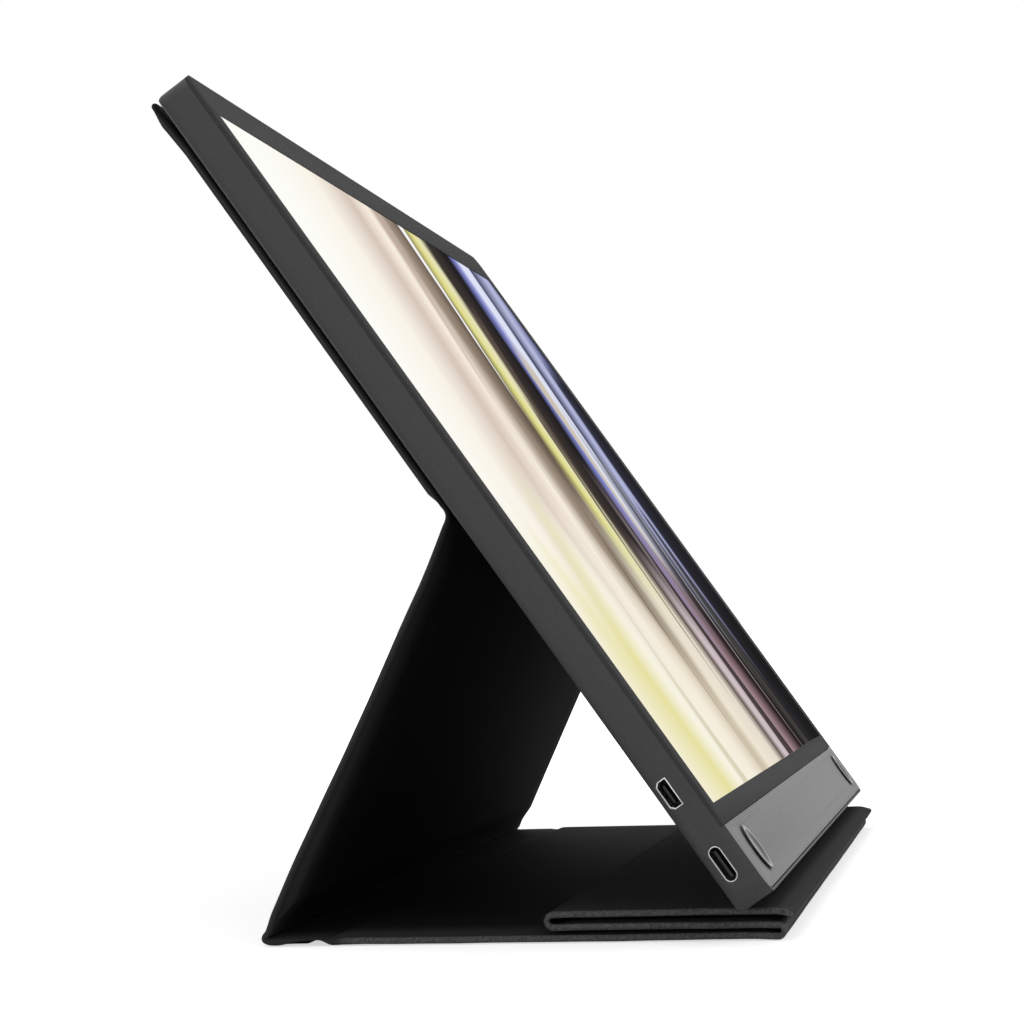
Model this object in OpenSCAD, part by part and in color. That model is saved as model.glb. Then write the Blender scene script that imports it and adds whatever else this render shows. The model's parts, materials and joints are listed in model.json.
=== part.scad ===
// Portable monitor standing in its folded cover.
// Millimetres, +Z up, screen towards -Y, origin at the middle of the footprint.

/* [Monitor] */
// width of the monitor
mon_w = 359.7; // [300:0.1:420]
// height of the monitor along its screen
mon_h = 227.4; // [190:0.1:260]
// thickness of the monitor
mon_t = 9; // [8:0.1:12]
// lean of the screen above the table in degrees
mon_lean = 55.85; // [45:0.05:70]
// radius of the monitor's corners seen from the front
mon_r = 5; // [2:0.1:10]
// radius of the casing's rear edges
rear_r = 2.5; // [1:0.1:3]
// thickness of the casing's side walls
wall_t = 1.5; // [1.2:0.1:2]
// thickness of the casing's back wall
back_t = 1.2; // [1:0.1:1.5]
// thickness of the front bezel and the control strip
bezel_t = 1; // [0.8:0.05:1.2]
// width of the casing's lip around the control strip
lip_w = 0.6; // [0.4:0.05:0.9]
// open seam between the bezel and the control strip
seam = 0.15; // [0.1:0.05:0.3]
// open seam between the control strip and the casing's lip
lip_seam = 0.3; // [0.15:0.05:0.4]

/* [Screen] */
// width of the dark border left and right of the picture
side_border = 7.75; // [4:0.05:14]
// height of the dark border above the picture
top_border = 10.6; // [6:0.1:18]
// height of the picture's lower edge above the monitor's lower edge
view_low = 23.2; // [20:0.1:30]
// clearance around the glass in the bezel's window
glass_gap = 0.1; // [0.05:0.01:0.15]
// how far the glass lies below the bezel's face
glass_step = 0.25; // [0.1:0.05:0.4]
// thickness of the liquid crystal cell
cell_t = 1; // [0.8:0.05:1.2]
// thickness of the light guide
guide_t = 1.2; // [1:0.05:1.4]
// thickness of the metal tray
tray_t = 0.4; // [0.3:0.05:0.5]
// height of the light bar below the light guide
led_h = 1.4; // [1:0.1:1.6]

/* [Controls] */
// height of the control strip's upper edge
strip_h = 17.8; // [15:0.1:19]
// distance of each button's axis from the monitor's side
button_in = 21.85; // [15:0.05:40]
// how far a button stands out of the strip
button_out = 0.7; // [0.3:0.05:1]
// height of the buttons above the monitor's lower edge
button_h = 9.6; // [8:0.1:11]
// diameter of a button
button_d = 11.5; // [8:0.1:12.5]
// running gap around a button
button_gap = 0.2; // [0.15:0.05:0.3]
// depth of the dish in a button
dish_depth = 0.8; // [0.4:0.1:0.9]
// travel of a button
button_travel = 0.6; // [0.4:0.05:0.7]

/* [Ports] */
// width of the lower port's shell
usb_w = 8.94; // [8.9:0.01:9]
// height of the lower port's shell
usb_t = 3.16; // [3.1:0.01:3.2]
// height of the lower port above the monitor's lower edge
usb_h = 11.1; // [9:0.1:13]
// depth of the lower port's axis behind the front
usb_d = 5.3; // [4.8:0.1:5.6]
// width of the upper port's shell
hdmi_w = 7.2; // [6.4:0.01:7.4]
// height of the upper port's shell
hdmi_t = 3.1; // [2.8:0.01:3.2]
// height of the upper port above the monitor's lower edge
hdmi_h = 30.3; // [28:0.1:34]
// depth of the upper port's axis behind the front
hdmi_d = 6.1; // [5.9:0.05:6.2]
// bevel of the upper port's two rear corners
hdmi_bevel = 0.85; // [0.6:0.05:1.1]
// length of both port shells
shell_l = 7.4; // [6.8:0.1:8]
// thickness of the shells' sheet metal
shell_t = 0.3; // [0.25:0.01:0.35]

/* [Cover] */
// width of the cover
cover_w = 336.6; // [280:0.1:380]
// thickness of a soft hem
hem_t = 1.5; // [1.2:0.1:1.8]
// thickness of a panel over its board
panel_t = 2.3; // [2:0.1:2.6]
// thickness of the leather skin and of the lining over a board
skin_t = 0.5; // [0.4:0.05:0.6]
// width of the soft hem beside the boards
hem_w = 4; // [3:0.1:6]
// thickness of the back panel over its board
back_panel_t = 4; // [3.6:0.1:4.6]
// how far the back panel's tip stands above the monitor
tip_over = 2.7; // [1:0.1:5]
// radius of the cover's free corners
cover_r = 2; // [1:0.1:6]
// clearance between layers that lie on each other
layer_gap = 0.2; // [0.15:0.01:0.3]
// clearance between the monitor and the cover behind it
mount_gap = 0.1; // [0.05:0.01:0.2]
// clearance below the monitor's foot
foot_gap = 0.3; // [0.2:0.05:0.4]
// height of the fold line behind the monitor, measured along its back
fold_h = 110.6; // [100:0.1:120]
// length of the base from fold to fold
base_len = 103.5; // [95:0.1:115]
// width of the spine from fold to fold
spine_w = 13.5; // [12:0.1:16]
// length of the lower flap layer
flap_a_len = 50.4; // [40:0.1:60]
// length of the upper flap layer
flap_b_len = 54.2; // [45:0.1:60]
// half width of the soft fold at the spine
crease_c = 2; // [1.8:0.1:2.5]
// half width of the soft fold behind the monitor
back_crease_c = 3; // [2.5:0.1:3.5]

/* [Hidden] */
$fn = 48;

button_x = mon_w / 2 - button_in;
view_w = mon_w - 2 * side_border;
view_h = mon_h - view_low - top_border;

cl = cos(mon_lean);
sl = sin(mon_lean);
hx = cover_w / 2;
half_hem = hem_t / 2;

// fold between the base and the lower flap layer
a_z = panel_t + layer_gap / 2;
// fold between the two flap layers
b_y = flap_a_len;
b_z = 2 * panel_t + 1.5 * layer_gap;
// top of the upper flap layer, where the monitor stands
stack_z = 3 * panel_t + 2 * layer_gap;
// fold between the base and the spine
spine_t = hem_t + 0.1;
s_y = base_len;
s_z = spine_t / 2;
// fold between the spine and the leg
l_y = base_len + spine_w;
l_z = spine_t / 2;

// monitor's front lower edge, set so that its rounded foot clears the flap
foot_c_h = rear_r;
foot_c_d = rear_r - mon_t;
edge_z = stack_z + foot_gap + rear_r - (foot_c_h * sl + foot_c_d * cl);

// fold between the leg and the back panel, in the monitor's frame
fold_d = -(mon_t + 2.13);
k_y = fold_h * cl - fold_d * sl;
k_z = edge_z + fold_h * sl + fold_d * cl;
leg_len = sqrt((l_y - k_y) * (l_y - k_y) + (k_z - l_z) * (k_z - l_z));
leg_ang = atan2(k_z - l_z, k_y - l_y);
leg_top = panel_t - l_z;
leg_low = -l_z;

back_top = -(mon_t + mount_gap);
back_low = back_top - back_panel_t;
back_mid = (back_top + back_low) / 2;
tip_h = mon_h + tip_over;

y_lo = b_y - flap_b_len;
y_hi = tip_h * cl - (back_mid - half_hem) * sl;
mid_y = (y_lo + y_hi) / 2;

// depths of the layers behind the monitor's front
d_glass = -glass_step;
d_cell = -bezel_t;
d_guide = d_cell - cell_t;
d_tray = d_guide - guide_t;
d_tray_back = d_tray - tray_t;
d_in = back_t - mon_t;
cell_w = view_w + 3;
cell_low = view_low - 1.7;
cell_h = view_h + 3.4;
tray_w = cell_w + 3.2;
tray_low = cell_low - led_h - 0.9;
tray_top = cell_low + cell_h + 1;
in_w = mon_w - 2 * wall_t;

// boards
brd_t = 0.8;
d_brd = -5.8;
d_brd_back = d_brd - brd_t;
brd_w = 83;
brd_x0 = -in_w / 2 + 0.45;
brd_x1 = brd_x0 + brd_w;
brd_h0 = 3;
brd_h1 = 40;
boss_r = 2;
screw_r = 0.8;
screw_head_r = 1.7;
screw_head_t = 0.8;
boss_in = 5;
boss_port = 12;
boss_at = [[brd_x0 + boss_port, (usb_h + hdmi_h) / 2 + 0.8],
  [brd_x1 - boss_in, brd_h0 + boss_in], [brd_x1 - boss_in, brd_h1 - boss_in]];
// each chip's place on the board, its sides and its height
chip_at = [[26, 21, 13, 0.9], [48, 7, 9, 0.9], [62, 23, 8, 0.7]];
plug_w = 24;
plug_t = 5;
plug_x = 43;
plug_h = 22;
usb_tongue = [6.69, 0.7];
hdmi_tongue_size = [4.4, 0.6];
tongue_back = 1.2;
tongue_in = 0.9;
sw_w = 6;
d_swb = -4;
swb_t = 0.8;
swb_w = 2 * (button_x + 8);
swb_h = 8;
d_sw = d_swb + 0.9;
stem_gap = 0.05;
d_stem = d_sw + button_travel + stem_gap;
flange_over = 0.75;
d_flange = -(bezel_t + 0.3);
d_cap = d_flange - 0.6;
rib_t = 1.2;
rib_end = 13;
rib_w = in_w - 2 * rib_end;
rib_low = brd_h1 + 20;
rib_high = tray_top - 14.5;
rib_step = (rib_high - rib_low) / 3;
rib_at = [for (i = [0:3]) rib_low + i * rib_step];
bridge_gap = 5;
swb_boss_at = [brd_x1 + bridge_gap + 6, 0, -brd_x1 - bridge_gap - 6, button_x - 8];
plate_w = 20;
plate_t = 0.6;
plate_in = 48;

base_color = [0.07, 0.07, 0.075];
lining_color = [0.13, 0.13, 0.14];
board_color = [0.55, 0.52, 0.47];

// lays a drawing made in x, along a panel and through it at a point and angle
module lay(y, z, a) {
  translate([0, y - mid_y, z]) rotate([a, 0, 0]) children();
}

module on_monitor() {
  lay(0, edge_z, mon_lean) children();
}

// flat outline from u0 to u1 with corner radii r0 and r1
module outline(w, u0, u1, r0, r1) {
  translate([-w / 2, u0 + r0]) square([w, u1 - u0 - r0 - r1]);
  if (r0 > 0) {
    translate([-w / 2 + r0, u0]) square([w - 2 * r0, r0 + 0.01]);
    for (s = [-1, 1]) translate([s * (w / 2 - r0), u0 + r0]) circle(r0);
  }
  if (r1 > 0) {
    translate([-w / 2 + r1, u1 - r1 - 0.01]) square([w - 2 * r1, r1 + 0.01]);
    for (s = [-1, 1]) translate([s * (w / 2 - r1), u1 - r1]) circle(r1);
  }
}

module slab(w, u0, u1, r0, r1, t0, t1) {
  translate([0, 0, t0]) linear_extrude(t1 - t0) outline(w, u0, u1, r0, r1);
}

// outer skin of a panel: soft hem, raised block, pocket for the board
module skin_of(u0, u1, r0, r1, b0, b1, low, mid) {
  bw = cover_w - 2 * hem_w;
  difference() {
    union() {
      slab(cover_w, u0, u1, r0, r1, mid - half_hem, mid);
      slab(bw, b0, b1, 1, 1, low, mid);
    }
    slab(bw - 2 * skin_t, b0 + skin_t, b1 - skin_t, 0, 0, low + skin_t, mid + 1);
  }
}

module lining_of(u0, u1, r0, r1, b0, b1, top, mid) {
  bw = cover_w - 2 * hem_w;
  difference() {
    union() {
      slab(cover_w, u0, u1, r0, r1, mid, mid + half_hem);
      slab(bw, b0, b1, 1, 1, mid, top);
    }
    slab(bw - 2 * skin_t, b0 + skin_t, b1 - skin_t, 0, 0, mid - 1, top - skin_t);
  }
}

module board_of(b0, b1, low, top) {
  bw = cover_w - 2 * hem_w;
  slab(bw - 2 * skin_t, b0 + skin_t, b1 - skin_t, 0, 0, low + skin_t, top - skin_t);
}

// base, lying on the table from y 0 to the spine's fold
base_b0 = 4;
base_b1 = base_len - 3.1;
base_u1 = base_len - crease_c;

module base_skin() {
  color(base_color) lay(0, 0, 0)
    skin_of(0, base_u1, 0, 0, base_b0, base_b1, 0, half_hem);
}

module base_board() {
  color(board_color) lay(0, 0, 0) board_of(base_b0, base_b1, 0, panel_t);
}

module base_lining() {
  color(lining_color) lay(0, 0, 0)
    lining_of(0, base_u1, 0, 0, base_b0, base_b1, panel_t, half_hem);
}

// spine, the narrow strip under the leg's foot
spine_u0 = base_len + crease_c;
spine_u1 = l_y - crease_c;
spine_in = 2;

module spine_skin() {
  color(base_color) lay(0, 0, 0) difference() {
    slab(cover_w, spine_u0, spine_u1, 0, 0, 0, s_z);
    slab(cover_w - 2 * hem_w, spine_u0 + spine_in, spine_u1 - spine_in, 0, 0, skin_t, s_z + 1);
  }
}

module spine_board() {
  color(board_color) lay(0, 0, 0)
    slab(cover_w - 2 * hem_w, spine_u0 + spine_in, spine_u1 - spine_in, 0, 0,
      skin_t, spine_t - skin_t);
}

module spine_lining() {
  color(lining_color) lay(0, 0, 0) difference() {
    slab(cover_w, spine_u0, spine_u1, 0, 0, s_z, spine_t);
    slab(cover_w - 2 * hem_w, spine_u0 + spine_in, spine_u1 - spine_in, 0, 0,
      s_z - 1, spine_t - skin_t);
  }
}

// leg, the slanted panel from the spine up to the fold behind the monitor
leg_b0 = 9.6;
leg_b1 = leg_len - 12.3;
leg_u1 = leg_len - back_crease_c;
leg_mid = 0.1;

module leg_skin() {
  color(base_color) lay(l_y, l_z, leg_ang)
    skin_of(crease_c, leg_u1, 0, 0, leg_b0, leg_b1, leg_low, leg_mid);
}

module leg_board() {
  color(board_color) lay(l_y, l_z, leg_ang) board_of(leg_b0, leg_b1, leg_low, leg_top);
}

module leg_lining() {
  color(lining_color) lay(l_y, l_z, leg_ang)
    lining_of(crease_c, leg_u1, 0, 0, leg_b0, leg_b1, leg_top, leg_mid);
}

// back panel, the part of the cover that holds the monitor
back_u0 = fold_h + back_crease_c;
back_b0 = fold_h + 7.1;
back_b1 = tip_h - 4.6;
magnet_d = 16;
magnet_t = 1.6;
magnet_z = back_top - skin_t - magnet_t;
magnet_x = in_w / 2 - plate_in - magnet_d / 2 - 2;
magnet_hi = rib_at[3] - 2 - plate_w / 2;
magnet_lo = rib_at[2] - 2 - plate_w / 2;
magnet_at = [[-magnet_x, magnet_hi], [-magnet_x / 3, magnet_hi], [magnet_x / 3, magnet_hi],
  [magnet_x, magnet_hi], [-magnet_x, magnet_lo], [magnet_x, magnet_lo]];

module back_skin() {
  color(base_color) on_monitor()
    skin_of(back_u0, tip_h, 0, cover_r, back_b0, back_b1, back_low, back_mid);
}

module back_board() {
  color(board_color) on_monitor() difference() {
    board_of(back_b0, back_b1, back_low, back_top);
    for (p = magnet_at) translate([p[0], p[1], magnet_z])
      cylinder(r = magnet_d / 2 + 0.05, h = magnet_t + 1);
  }
}

module back_lining() {
  color(lining_color) on_monitor()
    lining_of(back_u0, tip_h, 0, cover_r, back_b0, back_b1, back_top, back_mid);
}

module back_magnets() {
  color([0.6, 0.6, 0.62]) on_monitor()
    for (p = magnet_at) translate([p[0], p[1], magnet_z])
      cylinder(r = magnet_d / 2, h = magnet_t);
}

// lower flap layer, folded back over the base with its lining down
flap_b0 = 4;

module as_flap_a() {
  lay(0, a_z, 0) mirror([0, 0, 1]) children();
}

module flap_a_skin() {
  color(base_color) as_flap_a()
    skin_of(0, flap_a_len, 0, 0, flap_b0, flap_a_len - flap_b0,
      -layer_gap / 2 - panel_t, -layer_gap / 2 - half_hem);
}

module flap_a_board() {
  color(board_color) as_flap_a()
    board_of(flap_b0, flap_a_len - flap_b0, -layer_gap / 2 - panel_t, -layer_gap / 2);
}

module flap_a_lining() {
  color(lining_color) as_flap_a()
    lining_of(0, flap_a_len, 0, 0, flap_b0, flap_a_len - flap_b0,
      -layer_gap / 2, -layer_gap / 2 - half_hem);
}

// upper flap layer, folded forwards again with its lining up
flap_magnet_d = 10;
flap_magnet_t = 0.8;
flap_magnet_x = cover_w / 2 - 48;
flap_magnet_u = flap_b_len - 12.2;
flap_magnet_at = [[-flap_magnet_x, flap_magnet_u], [0, flap_magnet_u],
  [flap_magnet_x, flap_magnet_u]];
flap_z0 = layer_gap / 2;
flap_z1 = flap_z0 + panel_t;
flap_mid = (flap_z0 + flap_z1) / 2;

module as_flap_b() {
  lay(b_y, b_z, 0) mirror([0, 1, 0]) children();
}

module flap_b_skin() {
  color(base_color) as_flap_b()
    skin_of(0, flap_b_len, 0, cover_r, flap_b0, flap_b_len - flap_b0, flap_z0, flap_mid);
}

module flap_b_board() {
  color(board_color) as_flap_b() difference() {
    board_of(flap_b0, flap_b_len - flap_b0, flap_z0, flap_z1);
    for (p = flap_magnet_at) translate([p[0], p[1], flap_z1 - skin_t - flap_magnet_t])
      cylinder(r = flap_magnet_d / 2 + 0.05, h = flap_magnet_t + 1);
  }
}

module flap_b_lining() {
  color(lining_color) as_flap_b()
    lining_of(0, flap_b_len, 0, cover_r, flap_b0, flap_b_len - flap_b0, flap_z1, flap_mid);
}

module flap_magnets() {
  color([0.6, 0.6, 0.62]) as_flap_b()
    for (p = flap_magnet_at) translate([p[0], p[1], flap_z1 - skin_t - flap_magnet_t])
      cylinder(r = flap_magnet_d / 2, h = flap_magnet_t);
}

// soft folds between the panels
crease_r = half_hem - 0.05;

module across(w) {
  rotate([90, 0, 90]) translate([0, 0, -w / 2]) linear_extrude(w) children();
}

module crease_back_leg() {
  color(base_color) union() {
    lay(k_y, k_z, leg_ang) {
      across(cover_w) translate([-back_crease_c, -crease_r])
        square([back_crease_c, 2 * crease_r]);
      across(cover_w) circle(crease_r);
    }
    lay(k_y, k_z, mon_lean) across(cover_w) translate([0, -crease_r])
      square([back_crease_c, 2 * crease_r]);
  }
}

module crease_leg_spine() {
  color(base_color) union() {
    lay(l_y, l_z, leg_ang) {
      across(cover_w) translate([0, -crease_r]) square([crease_c, 2 * crease_r]);
      across(cover_w) circle(crease_r);
    }
    lay(l_y, l_z, 0) across(cover_w) translate([-crease_c, -crease_r])
      square([crease_c, 2 * crease_r]);
  }
}

module crease_spine_base() {
  color(base_color) lay(s_y, s_z, 0) across(cover_w) {
    translate([-crease_c, -crease_r + 0.2]) square([2 * crease_c, 2 * crease_r - 0.4]);
    circle(crease_r);
  }
}

module fold_ring(r1, r0) {
  difference() {
    circle(r1);
    circle(r0);
    translate([0, -r1 - 1]) square(2 * r1 + 2);
  }
}

module crease_base_a() {
  color(base_color) lay(0, a_z, 0) across(cover_w) fold_ring(2, layer_gap);
}

module crease_a_b() {
  color(base_color) lay(b_y, b_z, 0) across(cover_w) mirror([1, 0])
    fold_ring(panel_t + layer_gap / 2, half_hem);
}

// outer form of the monitor, rounded at its corners and rear edges
module mon_form() {
  intersection() {
    translate([0, 0, -mon_t]) linear_extrude(mon_t)
      outline(mon_w, 0, mon_h, mon_r, mon_r);
    across(mon_w + 2) edge_profile(0, mon_h);
    translate([0, mon_h + 1, 0]) rotate([90, 0, 0]) linear_extrude(mon_h + 2)
      edge_profile(-mon_w / 2, mon_w / 2);
  }
}

module edge_profile(a, b) {
  translate([a, rear_r - mon_t]) square([b - a, mon_t - rear_r]);
  translate([a + rear_r, -mon_t]) square([b - a - 2 * rear_r, mon_t]);
  translate([a + rear_r, rear_r - mon_t]) circle(rear_r);
  translate([b - rear_r, rear_r - mon_t]) circle(rear_r);
}

module port_outline(w, t, grow) {
  r = t / 2 + grow;
  translate([-(w - t) / 2, -r]) square([w - t, 2 * r]);
  for (s = [-1, 1]) translate([s * (w - t) / 2, 0]) circle(r);
}

module hdmi_outline(grow) {
  w = hdmi_w / 2 + grow;
  t = hdmi_t / 2 + grow;
  b = hdmi_bevel;
  polygon([[-w, t], [w, t], [w, b - t], [w - b, -t], [b - w, -t], [-w, b - t]]);
}

// turns an outline drawn along the monitor's side into a solid from x0 to x1
module from_side(h, d, x0, x1) {
  translate([x0, h, d]) rotate([90, 0, 90]) linear_extrude(x1 - x0) children();
}

module rear_casing() {
  color([0.25, 0.25, 0.26]) on_monitor() difference() {
    union() {
      difference() {
        mon_form();
        slab(in_w, wall_t, mon_h - wall_t, mon_r - wall_t, mon_r - wall_t, d_in, 1);
        slab(mon_w + 2, strip_h + seam / 2, mon_h + 2, 0, 0, -bezel_t, 1);
        slab(mon_w - 2 * lip_w, lip_w, strip_h + 1, mon_r - lip_w, 0, -bezel_t, 1);
      }
      for (h = rib_at) translate([-rib_w / 2, h - rib_t / 2, d_in - 0.1])
        cube([rib_w, rib_t, d_tray_back - d_in + 0.1]);
      translate([brd_x1 + bridge_gap, strip_h - 0.8, d_in - 0.1])
        cube([rib_w / 2 - brd_x1 - bridge_gap, tray_low - strip_h + 0.5,
          -bezel_t - d_in + 0.1]);
      for (p = boss_at) translate([p[0], p[1], d_in - 0.1])
        cylinder(r = boss_r, h = d_brd_back - d_in + 0.1);
      for (x = swb_boss_at) translate([x, button_h, d_in - 0.1])
        cylinder(r = boss_r, h = d_swb - swb_t - d_in + 0.1);
    }
    for (p = boss_at) translate([p[0], p[1], d_in])
      cylinder(r = screw_r + 0.05, h = 5);
    from_side(usb_h, -usb_d, -mon_w / 2 - 1, -mon_w / 2 + wall_t + 1)
      port_outline(usb_w, usb_t, 0.05);
    from_side(hdmi_h, -hdmi_d, -mon_w / 2 - 1, -mon_w / 2 + wall_t + 1)
      hdmi_outline(0.05);
  }
}

module front_bezel() {
  color([0.22, 0.22, 0.23]) on_monitor() difference() {
    slab(mon_w, strip_h + seam, mon_h, 0, mon_r, -bezel_t, 0);
    slab(view_w, view_low, view_low + view_h, 0, 0, -bezel_t - 1, 1);
  }
}

module control_strip() {
  r = mon_r - lip_w - lip_seam;
  color([0.5, 0.5, 0.51]) on_monitor() difference() {
    slab(mon_w - 2 * (lip_w + seam), lip_w + lip_seam, strip_h, r, 0, -bezel_t, 0);
    for (s = [-1, 1]) translate([s * button_x, button_h, -bezel_t - 1])
      cylinder(r = button_d / 2 + button_gap, h = bezel_t + 2);
  }
}

module screen_glass() {
  color([0.8, 0.8, 0.75]) on_monitor()
    slab(view_w - 2 * glass_gap, view_low + glass_gap, view_low + view_h - glass_gap,
      0, 0, d_cell, d_glass);
}

module lcd_cell() {
  color([0.1, 0.1, 0.12]) on_monitor()
    slab(cell_w, cell_low, cell_low + cell_h, 0, 0, d_guide, d_cell);
}

module light_guide() {
  color([0.9, 0.9, 0.92]) on_monitor()
    slab(cell_w - 1, cell_low + 0.5, cell_low + cell_h - 0.5, 0, 0, d_tray, d_guide);
}

module led_bar() {
  color([0.95, 0.95, 0.85]) on_monitor()
    slab(cell_w - 8, cell_low + 0.5 - led_h, cell_low + 0.5, 0, 0, d_tray, d_guide);
}

module panel_tray() {
  color([0.6, 0.6, 0.62]) on_monitor() difference() {
    slab(tray_w, tray_low, tray_top, 0, 0, d_tray_back, d_guide);
    slab(tray_w - 2 * tray_t, tray_low + tray_t, tray_top - tray_t, 0, 0, d_tray, 1);
  }
}

module main_board() {
  x_end = -mon_w / 2 + shell_l;
  color([0.05, 0.3, 0.15]) on_monitor() difference() {
    translate([brd_x0, brd_h0, d_brd_back]) cube([brd_x1 - brd_x0, brd_h1 - brd_h0, brd_t]);
    from_side(usb_h, -usb_d, -mon_w / 2, x_end + 0.1) square([usb_w + 0.1, 9], center = true);
    from_side(hdmi_h, -hdmi_d, -mon_w / 2, x_end + 0.1) square([hdmi_w + 0.1, 9], center = true);
    for (p = boss_at) translate([p[0], p[1], d_brd_back - 1])
      cylinder(r = screw_r + 0.1, h = brd_t + 2);
  }
}

module board_chips() {
  color([0.08, 0.08, 0.09]) on_monitor() for (c = chip_at)
    translate([brd_x0 + c[0], brd_h0 + c[1], d_brd_back - c[3]]) cube([c[2], c[2], c[3]]);
}

module board_screws() {
  color([0.7, 0.7, 0.72]) on_monitor() for (p = boss_at) {
    translate([p[0], p[1], d_brd]) cylinder(r = screw_head_r, h = screw_head_t);
    translate([p[0], p[1], d_in + 0.1]) cylinder(r = screw_r, h = d_brd - d_in);
  }
}

module display_connector() {
  color([0.85, 0.82, 0.7]) on_monitor()
    translate([brd_x0 + plug_x, brd_h0 + plug_h, d_brd])
      cube([plug_w, plug_t, d_tray_back - d_brd]);
}

module usb_c_shell() {
  x0 = -mon_w / 2;
  color([0.8, 0.8, 0.82]) on_monitor() difference() {
    from_side(usb_h, -usb_d, x0, x0 + shell_l) port_outline(usb_w, usb_t, 0);
    from_side(usb_h, -usb_d, x0 - 1, x0 + shell_l + 1)
      port_outline(usb_w - 2 * shell_t, usb_t - 2 * shell_t, 0);
  }
}

module usb_c_tongue() {
  x0 = -mon_w / 2;
  color([0.1, 0.1, 0.1]) on_monitor() {
    from_side(usb_h, -usb_d, x0 + shell_l - tongue_back, x0 + shell_l)
      port_outline(usb_w - 2 * shell_t, usb_t - 2 * shell_t, 0);
    from_side(usb_h, -usb_d, x0 + tongue_in, x0 + shell_l - tongue_back)
      square(usb_tongue, center = true);
  }
}

module hdmi_shell() {
  x0 = -mon_w / 2;
  color([0.8, 0.8, 0.82]) on_monitor() difference() {
    from_side(hdmi_h, -hdmi_d, x0, x0 + shell_l) hdmi_outline(0);
    from_side(hdmi_h, -hdmi_d, x0 - 1, x0 + shell_l + 1) hdmi_outline(-shell_t);
  }
}

module hdmi_tongue() {
  x0 = -mon_w / 2;
  color([0.1, 0.1, 0.1]) on_monitor() {
    from_side(hdmi_h, -hdmi_d, x0 + shell_l - tongue_back, x0 + shell_l)
      hdmi_outline(-shell_t);
    from_side(hdmi_h, -hdmi_d, x0 + tongue_in, x0 + shell_l - tongue_back)
      square(hdmi_tongue_size, center = true);
  }
}

module button_at(x) {
  r = button_d / 2;
  chord = r - 0.7;
  big = (chord * chord + dish_depth * dish_depth) / (2 * dish_depth);
  on_monitor() translate([x, button_h, 0]) difference() {
    union() {
      translate([0, 0, d_cap]) cylinder(r = r, h = button_out - d_cap);
      translate([0, 0, d_cap]) cylinder(r = r + flange_over, h = d_flange - d_cap);
      translate([0, 0, d_stem]) cylinder(r = 1.5, h = d_cap - d_stem + 0.1);
    }
    translate([0, 0, big + button_out - dish_depth]) sphere(big);
  }
}

module power_button() {
  color([0.55, 0.55, 0.56]) button_at(-button_x);
}

module menu_button() {
  color([0.55, 0.55, 0.56]) button_at(button_x);
}

module button_board() {
  color([0.05, 0.3, 0.15]) on_monitor()
    translate([-swb_w / 2, button_h - swb_h / 2, d_swb - swb_t]) cube([swb_w, swb_h, swb_t]);
}

module button_switches() {
  color([0.75, 0.75, 0.77]) on_monitor() for (s = [-1, 1])
    translate([s * button_x - sw_w / 2, button_h - sw_w / 2, d_swb])
      cube([sw_w, sw_w, d_sw - d_swb]);
}

// steel plates inside the back wall, held by the cover's magnets
module steel_plates() {
  color([0.65, 0.65, 0.67]) on_monitor() {
    translate([plate_in - in_w / 2, magnet_hi - plate_w / 2, d_in])
      cube([in_w - 2 * plate_in, plate_w, plate_t]);
    for (s = [-1, 1]) translate([s * magnet_x - plate_w / 2, magnet_lo - plate_w / 2, d_in])
      cube([plate_w, plate_w, plate_t]);
  }
}

base_skin();
base_board();
base_lining();
spine_skin();
spine_board();
spine_lining();
leg_skin();
leg_board();
leg_lining();
back_skin();
back_board();
back_lining();
flap_a_skin();
flap_a_board();
flap_a_lining();
flap_b_skin();
flap_b_board();
flap_b_lining();
crease_back_leg();
crease_leg_spine();
crease_spine_base();
crease_base_a();
crease_a_b();
back_magnets();
flap_magnets();
rear_casing();
front_bezel();
control_strip();
screen_glass();
lcd_cell();
light_guide();
led_bar();
panel_tray();
main_board();
board_chips();
board_screws();
display_connector();
usb_c_shell();
usb_c_tongue();
hdmi_shell();
hdmi_tongue();
power_button();
menu_button();
button_board();
button_switches();
steel_plates();
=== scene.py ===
import json
import math

import bpy
from mathutils import Matrix, Vector


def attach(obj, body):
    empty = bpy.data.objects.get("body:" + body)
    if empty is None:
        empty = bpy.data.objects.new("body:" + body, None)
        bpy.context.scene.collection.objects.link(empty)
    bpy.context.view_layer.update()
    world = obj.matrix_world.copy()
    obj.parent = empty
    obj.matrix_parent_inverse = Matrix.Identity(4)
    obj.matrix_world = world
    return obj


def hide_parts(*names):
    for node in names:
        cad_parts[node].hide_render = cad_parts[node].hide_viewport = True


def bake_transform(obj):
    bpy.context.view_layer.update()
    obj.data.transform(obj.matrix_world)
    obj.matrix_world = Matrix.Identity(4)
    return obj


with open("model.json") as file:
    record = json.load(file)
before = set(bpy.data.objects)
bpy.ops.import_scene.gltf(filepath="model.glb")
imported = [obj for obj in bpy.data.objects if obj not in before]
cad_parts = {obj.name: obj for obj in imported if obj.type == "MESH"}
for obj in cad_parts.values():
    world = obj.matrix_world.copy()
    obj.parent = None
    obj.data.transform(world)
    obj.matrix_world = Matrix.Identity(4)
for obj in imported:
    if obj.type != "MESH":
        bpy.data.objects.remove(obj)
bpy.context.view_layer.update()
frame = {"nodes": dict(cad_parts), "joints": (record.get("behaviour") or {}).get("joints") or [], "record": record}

# A portable monitor standing in its folded cover. Lengths are in millimetres. place() turns
# points into metres in the row frame, and MM does so for single lengths.

MM = 0.001
JOINTS = {j["name"]: j for j in frame["joints"]}


def joint_yz(name):
    _, y, z = JOINTS[name]["pos_m"]
    return y / MM, z / MM


# folds of the cover, seen from the side, with y 0 at the fold in front of the base
SHIFT = joint_yz("flap_a_fold")[0]


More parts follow.
